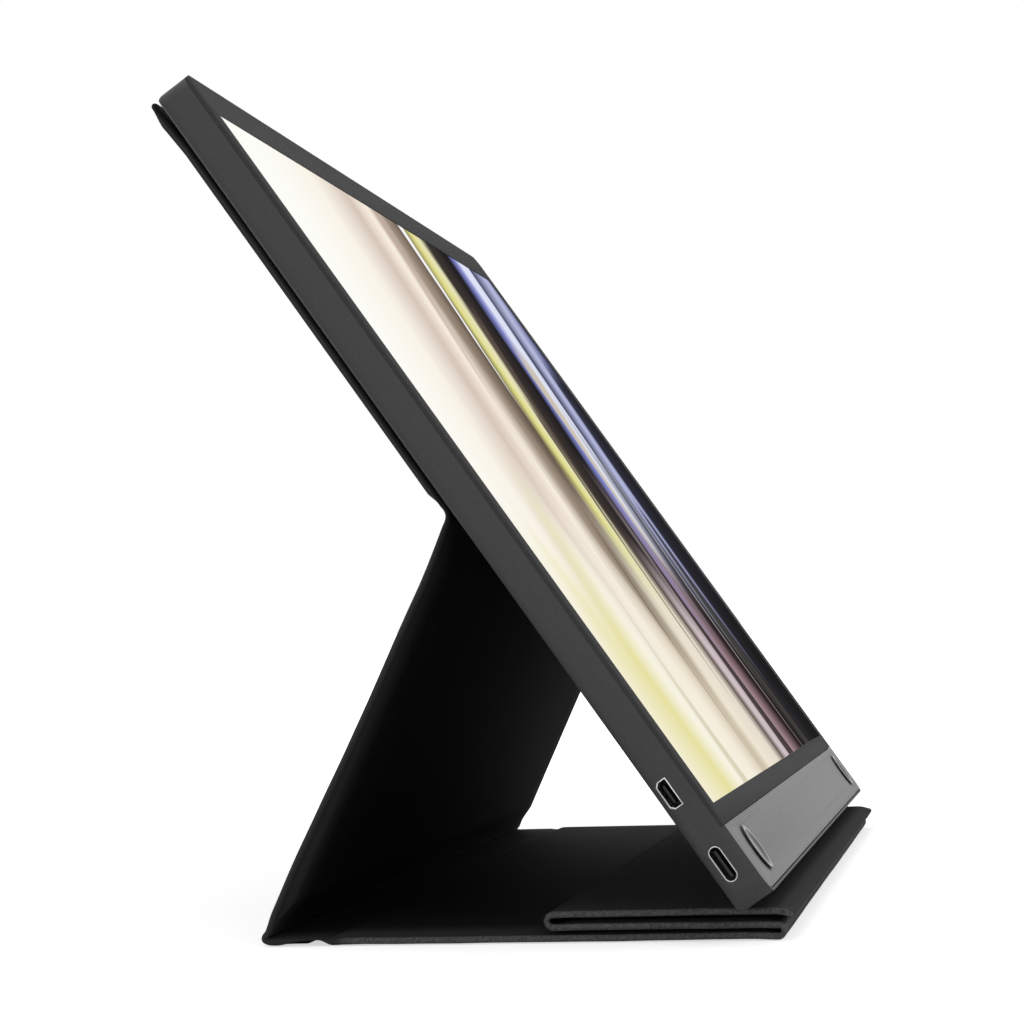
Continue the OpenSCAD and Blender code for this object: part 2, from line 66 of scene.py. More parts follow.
def fold_at(name):
    y, z = joint_yz(name)
    return y - SHIFT, z


def place(x, y, z):
    return Vector((x * MM, (y + SHIFT) * MM, z * MM))


FOLD_A, FOLD_B = fold_at("flap_a_fold"), fold_at("flap_b_fold")
FOLD_SPINE, FOLD_LEG = fold_at("flap_open"), fold_at("stand_fold")
FOLD_BACK = fold_at("back_fold")

# monitor, with heights measured along the screen and depths behind its front
MON_W, MON_H, MON_T = 359.7, 227.4, 9.0
LEAN = math.radians(55.85)
FOLD_H, FOLD_BEHIND = 110.6, 2.13
FOLD_DEPTH = MON_T + FOLD_BEHIND
EDGE_Z = FOLD_BACK[1] - FOLD_H * math.sin(LEAN) + FOLD_DEPTH * math.cos(LEAN)
SIDE_BORDER, TOP_BORDER, VIEW_LOW = 7.75, 10.6, 23.2
VIEW_W = MON_W - 2 * SIDE_BORDER
VIEW_H = MON_H - VIEW_LOW - TOP_BORDER

# cover
COVER_W = 336.6
HALF_X = COVER_W / 2
HALF_HEM = 0.75
HEM_W = 4.0
PANEL_T, SPINE_T, BACK_PANEL_T = 2.3, 1.6, 4.0
LAYER_GAP, MOUNT_GAP = 0.2, 0.1
CORNER_R = 2.0
CREASE, BACK_CREASE = 2.0, 3.0
TIP_OVER = 2.7
TIP_H = MON_H + TIP_OVER
LEG_RUN, LEG_RISE = FOLD_BACK[0] - FOLD_LEG[0], FOLD_BACK[1] - FOLD_LEG[1]
LEG_ANGLE = math.atan2(LEG_RISE, LEG_RUN)
LEG_LEN = math.hypot(LEG_RISE, LEG_RUN)
LEG_MID = 0.1
BACK_TOP = -(MON_T + MOUNT_GAP)
BACK_LOW = BACK_TOP - BACK_PANEL_T
BACK_MID = (BACK_TOP + BACK_LOW) / 2


class Plane:
    """A panel's own axes in the side view: u along the panel, t through it."""

    def __init__(self, y, z, angle=0.0, flip_u=1, flip_t=1):
        c, s = math.cos(angle), math.sin(angle)
        self.origin = (y, z)
        self.along = (c * flip_u, s * flip_u)
        self.through = (-s * flip_t, c * flip_t)

    def yz(self, u, t):
        return tuple(o + u * a + t * b
                     for o, a, b in zip(self.origin, self.along, self.through))

    def at(self, x, u, t):
        return place(x, *self.yz(u, t))

    def mirrored(self):
        return self.along[0] * self.through[1] < self.along[1] * self.through[0]


FLOOR = Plane(0, 0)
LEG = Plane(*FOLD_LEG, LEG_ANGLE)
SCREEN = Plane(0, EDGE_Z, LEAN)
LAYER_A = Plane(0, FOLD_A[1], flip_t=-1)
LAYER_B = Plane(*FOLD_B, flip_u=-1)


def add(name, data):
    """A new object of the scene that shows this data."""
    o = bpy.data.objects.new(name, data)
    bpy.context.scene.collection.objects.link(o)
    return o


# camera, fitted to the monitor's edges in the photograph, with angles in radians

EYE = (-816.12, -55.70, 71.906)
YAW, PITCH, ROLL = 0.1721, 0.0383, -0.0316
FOCAL_PIXELS, PICTURE_PIXELS = 2908.7, 1024
SENSOR_W = 36.0


def fitted_camera():
    data = bpy.data.cameras.new("camera")
    data.sensor_fit = "HORIZONTAL"
    data.sensor_width = SENSOR_W
    data.lens = FOCAL_PIXELS / PICTURE_PIXELS * SENSOR_W
    data.clip_start = 0.01
    data.clip_end = 100
    ahead = Vector((math.cos(PITCH) * math.cos(YAW), math.cos(PITCH) * math.sin(YAW),
                    math.sin(PITCH)))
    sideways = ahead.cross(Vector((0, 0, 1))).normalized()
    upright = sideways.cross(ahead)
    right = sideways * math.cos(ROLL) + upright * math.sin(ROLL)
    up = upright * math.cos(ROLL) - sideways * math.sin(ROLL)
    axes = Matrix((right, up, -ahead)).transposed().to_4x4()
    camera = add("camera", data)
    camera.matrix_world = Matrix.Translation(place(*EYE)) @ axes
    return camera


bpy.context.scene.camera = fitted_camera()
bpy.context.scene.view_settings.view_transform = "Standard"


# materials

def linear(v):
    """The linear value of an sRGB value from 0 to 255."""
    v = v / 255
    return v / 12.92 if v <= 0.04045 else ((v + 0.055) / 1.055) ** 2.4


def rgb(r, g, b):
    return (linear(r), linear(g), linear(b), 1)


class Nodes:
    """A node tree with short helpers for procedural nodes."""

    def __init__(self, tree):
        self.tree = tree

    def node(self, kind, **values):
        """A new node with these properties or inputs."""
        n = self.tree.nodes.new(kind)
        for key, value in values.items():
            if hasattr(n, key) and key not in n.inputs:
                setattr(n, key, value)
            else:
                n.inputs[key].default_value = value
        return n

    def link(self, a, b):
        self.tree.links.new(a, b)

    def coords(self):
        return self.node("ShaderNodeTexCoord").outputs["Object"]

    def split(self, vector):
        n = self.node("ShaderNodeSeparateXYZ")
        self.link(vector, n.inputs["Vector"])
        return n.outputs

    def noise(self, vector, scale, detail, rough=0.5):
        n = self.node("ShaderNodeTexNoise", Scale=scale, Detail=detail, Roughness=rough)
        self.link(vector, n.inputs["Vector"])
        return n.outputs["Fac"]

    def math(self, op, a, b=0.0, c=0.0):
        n = self.node("ShaderNodeMath", operation=op)
        for i, v in enumerate((a, b, c)):
            if isinstance(v, (int, float)):
                n.inputs[i].default_value = v
            else:
                self.link(v, n.inputs[i])
        return n.outputs[0]

    def add(self, a, b):
        return self.math("ADD", a, b)

    def less(self, a, b):
        return self.math("SUBTRACT", a, b)

    def times(self, a, *factors):
        for factor in factors:
            a = self.math("MULTIPLY", a, factor)
        return a

    def times_add(self, a, factor, c):
        return self.math("MULTIPLY_ADD", a, factor, c)

    def between(self, value, start, end):
        """0 before start and 1 after end, or the other way round if end is smaller."""
        rising = start < end
        limits = {"From Min": min(start, end), "From Max": max(start, end),
                  "To Min": 0.0 if rising else 1.0, "To Max": 1.0 if rising else 0.0}
        n = self.node("ShaderNodeMapRange", interpolation_type="SMOOTHSTEP", **limits)
        self.link(value, n.inputs["Value"])
        return n.outputs["Result"]

    def zone(self, value, limits):
        """0 at the first place and 1 at the second, both in millimetres."""
        return self.between(value, limits[0] * MM, limits[1] * MM)

    def ramp(self, fac, stops):
        n = self.node("ShaderNodeValToRGB")
        elements = n.color_ramp.elements
        while len(elements) < len(stops):
            elements.new(0.5)
        for element, (position, color) in zip(elements, stops):
            element.position = position
            element.color = color
        self.link(fac, n.inputs["Fac"])
        return n.outputs["Color"]

    def mix(self, fac, a, b):
        n = self.node("ShaderNodeMix", data_type="RGBA")
        self.link(fac, n.inputs["Factor"])
        for key, v in (("A", a), ("B", b)):
            socket = next(i for i in n.inputs if i.name == key and i.type == "RGBA")
            if isinstance(v, tuple):
                socket.default_value = v
            else:
                self.link(v, socket)
        return next(o for o in n.outputs if o.type == "RGBA")


class Material(Nodes):
    """A Principled material."""

    def __init__(self, name, color, rough=0.5, metal=0.0, spec=0.5):
        self.data = bpy.data.materials.new(name)
        self.data.use_nodes = True
        self.data.diffuse_color = color
        super().__init__(self.data.node_tree)
        self.inputs = self.tree.nodes["Principled BSDF"].inputs
        values = {"Base Color": color, "Roughness": rough, "Metallic": metal,
                  "Specular IOR Level": spec}
        for key, value in values.items():
            self.inputs[key].default_value = value

    def color(self, socket):
        self.link(socket, self.inputs["Base Color"])

    def relief(self, height, strength, depth):
        """A bumpy surface, as deep as this many millimetres."""
        n = self.node("ShaderNodeBump", Strength=strength, Distance=depth * MM)
        self.link(height, n.inputs["Height"])
        self.link(n.outputs["Normal"], self.inputs["Normal"])


# The cover gets painted light, paler at the lower side hems and on the upper flap layer, and a
# painted highlight in spots on its cut edges at the sides of base and flap. The limits are places
# in the row frame, each from where the change starts to where it is full.
HEM_ACROSS, HEM_HEIGHT = (HALF_X - 20.3, HALF_X - 0.5), (104, 84)
FLAP_OVER, FLAP_UNDER, FLAP_FRONT = (4.6, 5.6), (10, 9), (0, -8)
EDGE_ACROSS, EDGE_HEIGHT, EDGE_FRONT = (HALF_X - 1.4, HALF_X - 0.4), (10, 8), (33.5, 30)
PAINTED_LIGHT_GREY, PAINTED_EDGE_HIGHLIGHT = rgb(62, 62, 63), rgb(102, 102, 103)
PAINTED_LIGHT_SHARE, FLAP_LIGHT_SHARE = 0.7, 0.7

# grains of the leather, and of the spots of the painted edge highlight, per metre
PORES, FINE_GRAIN, BROAD_GRAIN, HIGHLIGHT_SPOT_GRAIN = 1700.0, 3200.0, 28.0, 1500.0
PORE_SHARE, BROAD_SHARE = 0.9, 0.8
SPOTS_FROM, SPOTS_TO = 0.2, 0.7


def leather(name, dark, pale, rough, spec):
    """Grained leather with painted light: paler at the lower side hems and the upper flap layer, and a painted
    highlight in spots along its cut edges.
    """
    m = Material(name, dark, rough, spec=spec)
    co = m.coords()
    place_x, place_y, height = m.split(co)
    across = m.math("ABSOLUTE", place_x)
    pores = m.node("ShaderNodeTexVoronoi", feature="DISTANCE_TO_EDGE", Scale=PORES)
    m.link(co, pores.inputs["Vector"])
    fine = m.noise(co, FINE_GRAIN, detail=2.0)
    broad = m.noise(co, BROAD_GRAIN, detail=4.0)
    grain = m.add(m.times(pores.outputs["Distance"], PORE_SHARE), fine)
    m.relief(m.add(grain, m.times(broad, BROAD_SHARE)), strength=0.35, depth=0.12)
    # painted light: the lower side hems and the upper flap layer are painted paler
    hem = m.times(m.zone(across, HEM_ACROSS), m.zone(height, HEM_HEIGHT))
    flap = m.times(m.zone(height, FLAP_OVER), m.zone(height, FLAP_UNDER),
                   m.zone(place_y, FLAP_FRONT))
    painted_light = m.math("MAXIMUM", hem, m.times(flap, FLAP_LIGHT_SHARE))
    body = m.mix(m.times(painted_light, PAINTED_LIGHT_SHARE), m.mix(broad, dark, pale), PAINTED_LIGHT_GREY)
    # painted highlight in spots along the cut edges at the sides of base and flap
    edge = m.times(m.zone(across, EDGE_ACROSS), m.zone(height, EDGE_HEIGHT),
                   m.zone(place_y, EDGE_FRONT))
    spots = m.noise(co, HIGHLIGHT_SPOT_GRAIN, detail=3.0, rough=0.8)
    spots = m.between(spots, SPOTS_FROM, SPOTS_TO)
    m.color(m.mix(m.times(edge, spots), body, PAINTED_EDGE_HIGHLIGHT))
    return m.data


def textured(name, dark, pale, rough, spec, grain=2600.0):
    """Moulded plastic with a fine texture of this many grains per metre."""
    m = Material(name, dark, rough, spec=spec)
    texture = m.noise(m.coords(), grain, detail=2.0, rough=0.6)
    m.relief(texture, strength=0.25, depth=0.08)
    m.color(m.mix(texture, dark, pale))
    return m.data


def plain(name, color, rough, metal=0.0, grain=900.0, lighter=1.12):
    """A smooth material that is lighter by this factor in fine spots."""
    m = Material(name, color, rough, metal)
    pale = tuple(min(1, c * lighter) for c in color[:3]) + (1,)
    m.color(m.mix(m.noise(m.coords(), grain, detail=2.0), color, pale))
    return m.data


def on_screen(m):
    """Coordinates of the screen in metres: x across it and y up from the monitor's edge."""
    foot = -(SHIFT * math.cos(LEAN) + EDGE_Z * math.sin(LEAN)) * MM
    n = m.node("ShaderNodeMapping", Rotation=(-LEAN, 0, 0), Location=(0, foot, 0))
    m.link(m.coords(), n.inputs["Vector"])
    return n.outputs["Vector"]


WEAVE_PITCH = 1.1
WEAVE_DARK, WEAVE_PALE = rgb(118, 118, 119), rgb(150, 150, 151)


def strip_material():
    """The control strip's diagonal weave of small dots."""
    m = Material("strip_grey", rgb(140, 140, 141), rough=0.55, metal=0.2, spec=0.2)
    x, h, _ = m.split(on_screen(m))
    turns = 2 * math.pi / (WEAVE_PITCH * MM)
    rising = m.math("SINE", m.times(m.add(x, h), turns))
    falling = m.math("SINE", m.times(m.less(x, h), turns))
    dots = m.times_add(m.times(rising, falling), 0.5, 0.5)
    m.color(m.ramp(dots, [(0.25, WEAVE_DARK), (0.75, WEAVE_PALE)]))
    m.relief(dots, strength=0.35, depth=0.06)
    return m.data


# ribbons of colour on the screen: place across the picture from 0 to 1, and colour
RIBBONS_LOW = [
    (0.0, (255, 253, 244)), (0.1, (244, 238, 206)), (0.2, (232, 226, 160)),
    (0.27, (250, 246, 230)), (0.38, (246, 238, 220)), (0.46, (206, 192, 168)),
    (0.5, (240, 232, 212)), (0.58, (232, 222, 208)), (0.63, (92, 74, 66)),
    (0.66, (212, 198, 202)), (0.75, (150, 122, 126)), (0.81, (44, 28, 32)),
    (0.86, (30, 20, 24)), (0.9, (188, 184, 170)), (0.93, (46, 42, 46)), (1.0, (20, 18, 20))]
RIBBONS_HIGH = [
    (0.0, (255, 255, 250)), (0.16, (252, 246, 234)), (0.28, (216, 198, 186)),
    (0.36, (250, 240, 226)), (0.43, (158, 142, 126)), (0.5, (96, 82, 70)),
    (0.54, (226, 222, 140)), (0.58, (236, 232, 190)), (0.61, (58, 50, 46)),
    (0.71, (20, 17, 19)), (0.75, (132, 138, 206)), (0.79, (238, 240, 252)),
    (0.84, (60, 66, 96)), (0.9, (186, 190, 226)), (0.95, (92, 96, 140)), (1.0, (28, 26, 34))]

# shards: place at the foot of the picture, slant, half widths below and above, lower and upper
# end, softness, colour and strength
SHARDS = [
    (0.30, 0.10, 0.004, 0.03, 0.45, 1.1, 0.02, (188, 160, 150), 0.6),
    (0.52, -0.02, 0.002, 0.016, 0.62, 1.1, 0.004, (255, 255, 255), 0.95),
    (0.60, 0.02, 0.004, 0.03, 0.4, 0.86, 0.012, (92, 78, 70), 0.85),
    (0.56, 0.05, 0.002, 0.012, 0.1, 0.66, 0.003, (74, 60, 54), 0.85),
    (0.44, 0.03, 0.0015, 0.004, -0.1, 0.42, 0.002, (96, 82, 74), 0.7),
    (0.30, 0.04, 0.03, 0.006, -0.1, 0.34, 0.02, (196, 186, 150), 0.6),
    (0.71, 0.02, 0.03, 0.004, -0.1, 0.55, 0.006, (38, 24, 28), 0.9),
    (0.79, -0.03, 0.002, 0.03, 0.3, 0.8, 0.006, (206, 196, 176), 0.9),
    (0.86, -0.06, 0.004, 0.035, 0.55, 1.1, 0.004, (226, 230, 252), 0.9),
    (0.90, 0.0, 0.05, 0.01, -0.1, 0.5, 0.008, (22, 20, 24), 0.9),
    (0.84, 0.02, 0.002, 0.006, -0.1, 0.6, 0.002, (170, 168, 160), 0.8),
    (0.97, -0.01, 0.02, 0.05, -0.1, 0.8, 0.01, (26, 25, 30), 0.9),
]

# The ribbons sway and drift as they rise, by shares of the picture's width. The low ones change
# into the high ones between two places up the picture, and END is how a shard's ends fade.
SWAY, SWAY_TURN, SWAY_START = 0.045, 3.4, 0.6
DRIFT, RISE_SHIFT, FOOT_SHIFT = 0.1, -0.09, 0.045
LOW_RIPPLE, HIGH_RIPPLE, SHARD_RIPPLE = 0.035, 0.05, 0.02
CHANGE_FROM, CHANGE_TO, CHANGE_RAGGED = 0.5, 0.86, 0.7
END_OUT, END_IN = 0.03, 0.05
SCREEN_GLOW = 0.97


def stretched_noise(m, vector, scale, detail, rough):
    """Noise with its own number of grains per metre across and up the screen."""
    n = m.node("ShaderNodeMapping", Scale=(*scale, 1.0))
    m.link(vector, n.inputs["Vector"])
    return m.noise(n.outputs["Vector"], 1.0, detail, rough)


def ribbons(m, fac, stops):
    return m.ramp(fac, [(position, rgb(*color)) for position, color in stops])


def shard_mask(m, across, up, shard):
    """How strongly a shard shows at each place of the picture."""
    start, slant, foot, head, low, top, soft, _, share = shard
    widening = (head - foot) / (top - low)
    half = m.times_add(up, widening, foot - widening * low)
    off = m.math("ABSOLUTE", m.less(across, m.times_add(up, slant, start)))
    ends = m.times(m.between(up, low - END_OUT, low + END_IN),
                   m.between(up, top + END_OUT, top - END_IN))
    return m.times(m.between(m.less(half, off), 0.0, soft), ends, share)


def picture_material():
    """A lit screen with soft ribbons of colour, as a generic abstract picture."""
    m = Material("screen_picture", (0.012, 0.012, 0.012, 1), rough=0.6, spec=0.0)
    vector = on_screen(m)
    x, h, _ = m.split(vector)
    across = m.times_add(x, 1 / (VIEW_W * MM), 0.5)
    up = m.times(m.less(h, VIEW_LOW * MM), 1 / (VIEW_H * MM))
    sway = m.math("SINE", m.times_add(up, SWAY_TURN, SWAY_START))
    drift = m.less(stretched_noise(m, vector, (4.0, 5.0), detail=1.0, rough=0.4), 0.5)
    ripple = m.less(stretched_noise(m, vector, (60.0, 2.2), detail=3.0, rough=0.6), 0.5)
    across = m.times_add(sway, SWAY, across)
    across = m.times_add(drift, DRIFT, across)
    across = m.times_add(up, RISE_SHIFT, m.add(across, FOOT_SHIFT))
    low = ribbons(m, m.times_add(ripple, LOW_RIPPLE, across), RIBBONS_LOW)
    high = ribbons(m, m.times_add(ripple, HIGH_RIPPLE, across), RIBBONS_HIGH)
    ragged = stretched_noise(m, vector, (26.0, 7.0), detail=2.0, rough=0.5)
    change = m.between(m.times_add(ragged, CHANGE_RAGGED, up), CHANGE_FROM, CHANGE_TO)
    picture = m.mix(change, low, high)
    across = m.times_add(ripple, SHARD_RIPPLE, across)
    for shard in SHARDS:
        picture = m.mix(shard_mask(m, across, up, shard), picture, rgb(*shard[-2]))
    m.link(picture, m.inputs["Emission Color"])
    m.inputs["Emission Strength"].default_value = SCREEN_GLOW
    return m.data


# greys of a button by how far its surface faces the front: 0 at the side wall, 1 on the face. The black side wall
# and the dark ring by the face are a painted reflection of dark surroundings, the pale band between is a painted
# highlight on the edge, and the grey of the face is its own colour.
BUTTON_PAINTED_GLINTS = [
    (0.0, rgb(10, 10, 10)), (0.3, rgb(12, 12, 12)), (0.5, rgb(228, 228, 230)),
    (0.93, rgb(215, 215, 217)), (0.958, rgb(20, 20, 20)), (0.977, rgb(28, 28, 28)),
    (0.988, rgb(122, 122, 124)), (1.0, rgb(140, 140, 142))]


def button_with_painted_glints():
    """A satin disc with a painted highlight on its edge and a painted dark reflection on its side wall."""
    m = Material("button_painted_glints", rgb(128, 128, 130), rough=0.3, metal=0.6)
    facing = m.node("ShaderNodeVectorMath", operation="DOT_PRODUCT")
    m.link(m.node("ShaderNodeTexCoord").outputs["Normal"], facing.inputs[0])
    facing.inputs[1].default_value = (0, -math.sin(LEAN), math.cos(LEAN))
    m.color(m.ramp(facing.outputs["Value"], BUTTON_PAINTED_GLINTS))
    return m.data


SKIN = leather("cover_leather", rgb(22, 22, 23), rgb(33, 33, 34), rough=0.62, spec=0.12)
LINING = leather("cover_lining", rgb(18, 18, 19), rgb(28, 28, 29), rough=0.8, spec=0.05)
CASING = textured("casing_grey", rgb(65, 65, 66), rgb(79, 79, 80), rough=0.55, spec=0.22)
BEZEL = textured("bezel_grey", rgb(62, 62, 63), rgb(76, 76, 77), rough=0.62, spec=0.015)
MATERIALS = {
    "casing": CASING,
    "bezel": BEZEL,
    "strip": strip_material(),
    "screen": picture_material(),
    "button": button_with_painted_glints(),
    "port_metal": plain("port_metal", rgb(196, 196, 199), rough=0.25, metal=0.85),
    "port_insert": plain("port_insert", rgb(16, 16, 17), rough=0.5),
    "stiffener": plain("fibre_board", rgb(150, 143, 132), rough=0.8),
    "steel": plain("plated_steel", rgb(190, 190, 194), rough=0.3, metal=0.9),
    "light_guide": plain("acrylic", rgb(225, 228, 232), rough=0.2),
    "led_bar": plain("led_white", rgb(240, 238, 220), rough=0.4),
    "tray": plain("tray_sheet", rgb(200, 200, 204), rough=0.35, metal=0.9),
    "circuit_board": plain("solder_mask", rgb(24, 84, 52), rough=0.4),
    "chips": plain("chip_black", rgb(26, 26, 28), rough=0.5),
    "connector": plain("connector_cream", rgb(220, 212, 190), rough=0.45),
    "cover_leather": SKIN,
    "cover_lining": LINING,
}


# mesh helpers

LINE_MERGE = 0.02


def make(name, verts, faces, material, sharp):
    """A smooth object with edges sharper than this angle in degrees kept sharp."""
    mesh = bpy.data.meshes.new(name)
    mesh.from_pydata([tuple(v) for v in verts], [], faces)
    mesh.validate()
    mesh.materials.append(material)
    mesh.shade_smooth()
    mesh.set_sharp_from_angle(angle=math.radians(sharp))
    o = add(name, mesh)
    return o


def smooth(v):
    """A soft step from 0 at 0 to 1 at 1."""
    v = min(1.0, max(0.0, v))
    return v * v * (3 - 2 * v)


def hump(v, centre, reach):
    """1 at the centre, falling softly to 0 at the reach on both sides."""
    return smooth(1 - abs(v - centre) / reach)


def level(u):
    """No bend anywhere along a panel."""
    return 0.0


def round_over(e, r):
    """Share of full thickness at a distance e inside a rounded edge of radius r."""
    if e >= r:
        return 1.0
    return math.sqrt(max(0.0, 1 - (1 - e / r) ** 2))


def edge_steps(r, n=6):
    """Distances from a rounded edge that follow its arc in equal turns."""
    return [r * (1 - math.cos(math.pi / 2 * i / n)) for i in range(n + 1)]


def spread(a, b, step):
    n = max(1, round((b - a) / step))
    return [a + (b - a) * i / n for i in range(n + 1)]


def merge_lines(*lists):
    """All values in order, without those that nearly repeat the one before."""
    out = []
    for v in sorted(v for values in lists for v in values):
        if not out or v - out[-1] > LINE_MERGE:
            out.append(v)
    return out


# waves of the soft hems: height, radians per millimetre and share of the seed
WAVES = ((0.5, 0.031, 1), (0.3, 0.083, 2.3), (0.2, 0.21, 4.1))
WAVE_SLANT = 1.7


def wave(x, seed):
    """A gentle unevenness between -1 and 1 along the cover's width."""
    return sum(height * math.sin(x * rate + seed * share) for height, rate, share in WAVES)


# Columns and rows of the cover's meshes are close together at the hems and wide in the
# field. The rim's are measured from the board's edges.
RIM_COLUMNS = (-2.6, -2.0, -1.5, -1, -0.5, 0, 0.5, 1, 1.6, 2.2, 2.8)
RIM_ROWS = (-4, -3.4, -2.8, -2.2, -1.6, -1, -0.5, 0, 0.5, 1)
FIELD_IN, FIELD_COLUMN, FIELD_ROW = 7, 9, 7
BOW_REACH, BOW_ROW = 36, 1.5


def columns():
    side = [HALF_X - e for e in edge_steps(HALF_HEM)]
    side += [HALF_X - HEM_W + d for d in RIM_COLUMNS]
    field = spread(-HALF_X + FIELD_IN, HALF_X - FIELD_IN, FIELD_COLUMN)
    return merge_lines([-v for v in side], side, field)


XS = columns()


def grid_solid(name, rows, front, back, material, sharp=50):
    """A closed solid between two surfaces given on one grid of columns and rows."""
    row_count, column_count = len(rows), len(XS)
    verts = [front(x, r) for r in rows for x in XS]
    verts += [back(x, r) for r in rows for x in XS]
    behind = row_count * column_count
    faces = []
    for i in range(row_count - 1):
        for j in range(column_count - 1):
            a = i * column_count + j
            faces.append((a, a + 1, a + column_count + 1, a + column_count))
            a += behind
            faces.append((a, a + column_count, a + column_count + 1, a + 1))

    def close(a, b, forward):
        quad = (a, b, b + behind, a + behind)
        faces.append(quad if forward else quad[::-1])

    for i in range(row_count - 1):
        for j, forward in ((0, True), (column_count - 1, False)):
            close(i * column_count + j, (i + 1) * column_count + j, forward)
    for j in range(column_count - 1):
        for i, forward in ((0, False), (row_count - 1, True)):
            close(i * column_count + j, i * column_count + j + 1, forward)
    return make(name, verts, faces, material, sharp)


# cover panels

# The step round a board starts this far outside the board and is this wide.
STEP_OUT, STEP_W = 3.2, 4.1
# Beside a fold the unevenness fades over this length, so that the pieces meet there.
CALM = 5


class Panel:
    """One stiff panel: a board between skin and lining, with a soft hem around it.

    u holds the panel's two ends and board the board's, along the panel. low, top and mid are
    the outer face, the inner face and the hem's middle through it. free holds the corner radius
    of each end, 0 where a fold follows. lift is the hem's unevenness. droop, bow and thin give
    by u how far the whole panel bends, how far its hem does, and how much thinner the hem is
    from below. Over the board the outer face follows the bow where that bends outwards.
    """

    def __init__(self, name, body, plane, u, board, low, top, mid, free=(0, 0), lift=0.0,
                 seed=1.0, droop=level, bow=level, thin=level):
        self.name, self.body, self.plane = name, body, plane
        self.u, self.board, self.free = u, board, free
        self.low, self.top, self.mid = low, top, mid
        self.lift, self.seed = lift, seed
        self.droop, self.bow, self.thin = droop, bow, thin
        lines = [spread(u[0], u[1], FIELD_ROW)]
        for end, side in ((board[0], 1), (board[1], -1)):
            lines.append([end + side * d for d in RIM_ROWS])
        if bow is not level:
            lines.append(spread(u[0], u[0] + BOW_REACH, BOW_ROW))
        for end, radius, side in self.ends():
            if radius:
                lines.append([end + side * e for e in edge_steps(HALF_HEM)])
        self.rows = [r for r in merge_lines(*lines) if u[0] <= r <= u[1]]

    def ends(self):
        """Each end's place, corner radius and the direction into the panel."""
        return ((self.u[0], self.free[0], 1), (self.u[1], self.free[1], -1))

    def warp(self, x, u):
        """Rounds the free corners of the outline."""
        for end, radius, side in self.ends():
            if not radius:
                continue
            corner_x, corner_u = HALF_X - radius, end + side * radius
            dx, du = abs(x) - corner_x, (corner_u - u) * side
            if dx > 0 and du > 0:
                pull = max(dx, du) / math.hypot(dx, du)
                x = math.copysign(corner_x + dx * pull, x)
                u = corner_u - side * du * pull
        return x, u

    def inside(self, x, u):
        """Distance to the nearest free edge."""
        e = HALF_X - abs(x)
        for end, radius, side in self.ends():
            if radius:
                e = min(e, (u - end) * side)
        return e

    def raised(self, x, u):
        """1 over the board and 0 on the hem."""
        d = HALF_X - HEM_W - abs(x)
        for end, edge, side in ((self.u[0], self.board[0], 1), (self.u[1], self.board[1], -1)):
            into = (u - edge) * side
            squeeze = min(1, STEP_OUT / abs(edge - end)) if into < 0 else 1
            d = min(d, into * squeeze)
        return smooth((d + STEP_OUT) / STEP_W)

    def calm(self, u):
        """1 away from the folds and 0 at them."""
        return math.prod(1 if radius else smooth((u - end) * side / CALM)
                         for end, radius, side in self.ends())

    def shape(self, x, u):
        """Half thickness of the hem, share of the step round the board, and the middle."""
        step = self.raised(x, u)
        swell = 0.5 + 0.5 * wave(x + u * WAVE_SLANT, self.seed)
        mid = self.mid + (1 - step) * self.lift * swell * self.calm(u)
        mid += self.droop(u)
        mid += (1 - step) * self.bow(u)
        cut = (1 - step) * self.thin(u) / 2
        half = HALF_HEM * round_over(self.inside(x, u), HALF_HEM) * (1 - cut / HALF_HEM)
        return half, step, mid + cut

    def outer(self, x, u):
        half, step, mid = self.shape(x, u)
        board = self.mid - HALF_HEM - self.low
        t = mid - half - step * board + step * min(0, self.bow(u))
        return self.plane.at(*self.warp(x, u), t)

    def inner(self, x, u):
        half, step, mid = self.shape(x, u)
        board = self.top - self.mid - HALF_HEM
        return self.plane.at(*self.warp(x, u), mid + half + step * board)

    def middle(self, x, u):
        _, _, mid = self.shape(x, u)
        return self.plane.at(*self.warp(x, u), mid)

    def build(self):
        for part, face, material, slot in (("skin", self.outer, SKIN, "cover_leather"),
                                           ("lining", self.inner, LINING, "cover_lining")):
            swap = (part == "skin") ^ self.plane.mirrored()
            front, back = (self.middle, face) if swap else (face, self.middle)
            o = grid_solid(f"{self.name}_{part}_soft", self.rows, front, back, material)
            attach(o, self.body)
            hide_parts(f"{self.name}_{part}")


# Pieces beside each other on one fold line keep this clearance at their end faces.
APART = 0.04
BASE_END = FOLD_SPINE[0] - CREASE
SPINE_START, SPINE_END = FOLD_SPINE[0] + CREASE, FOLD_LEG[0] - CREASE
FLAP_A_LEN, FLAP_B_LONGER = FOLD_B[0], 3.8
FLAP_B_LEN = FLAP_A_LEN + FLAP_B_LONGER
# hems at the panels' ends, where they differ from the sides' hem
BASE_HEM, SPINE_HEM, LEG_HEM, LEG_TOP_HEM = 3.1, 2.5, 9.6, 12.3
BACK_HEM, TIP_HEM = 7.1, 4.6

# bends of the soft cover: the size of each and the lengths over which it comes and goes
ARCH, ARCH_RISE, ARCH_FALL = 1.15, 3.4, 7.5
BOW, BOW_MORE, BOW_GROW = 0.75, 0.45, 5
BOW_END, BOW_FADE = 64, 50
SWELL, SWELL_IN, SWELL_WIDE = 0.3, 16, 12
FLARE, FLARE_LEN = 0.9, 14
DROOP, DROOP_LEN = 0.75, 4.2


def arch(y):
    """How far the soft cover stands off the table around the pressed fold of the spine."""
    return ARCH * smooth((y - BASE_END) / ARCH_RISE) * smooth((SPINE_END - y) / ARCH_FALL)


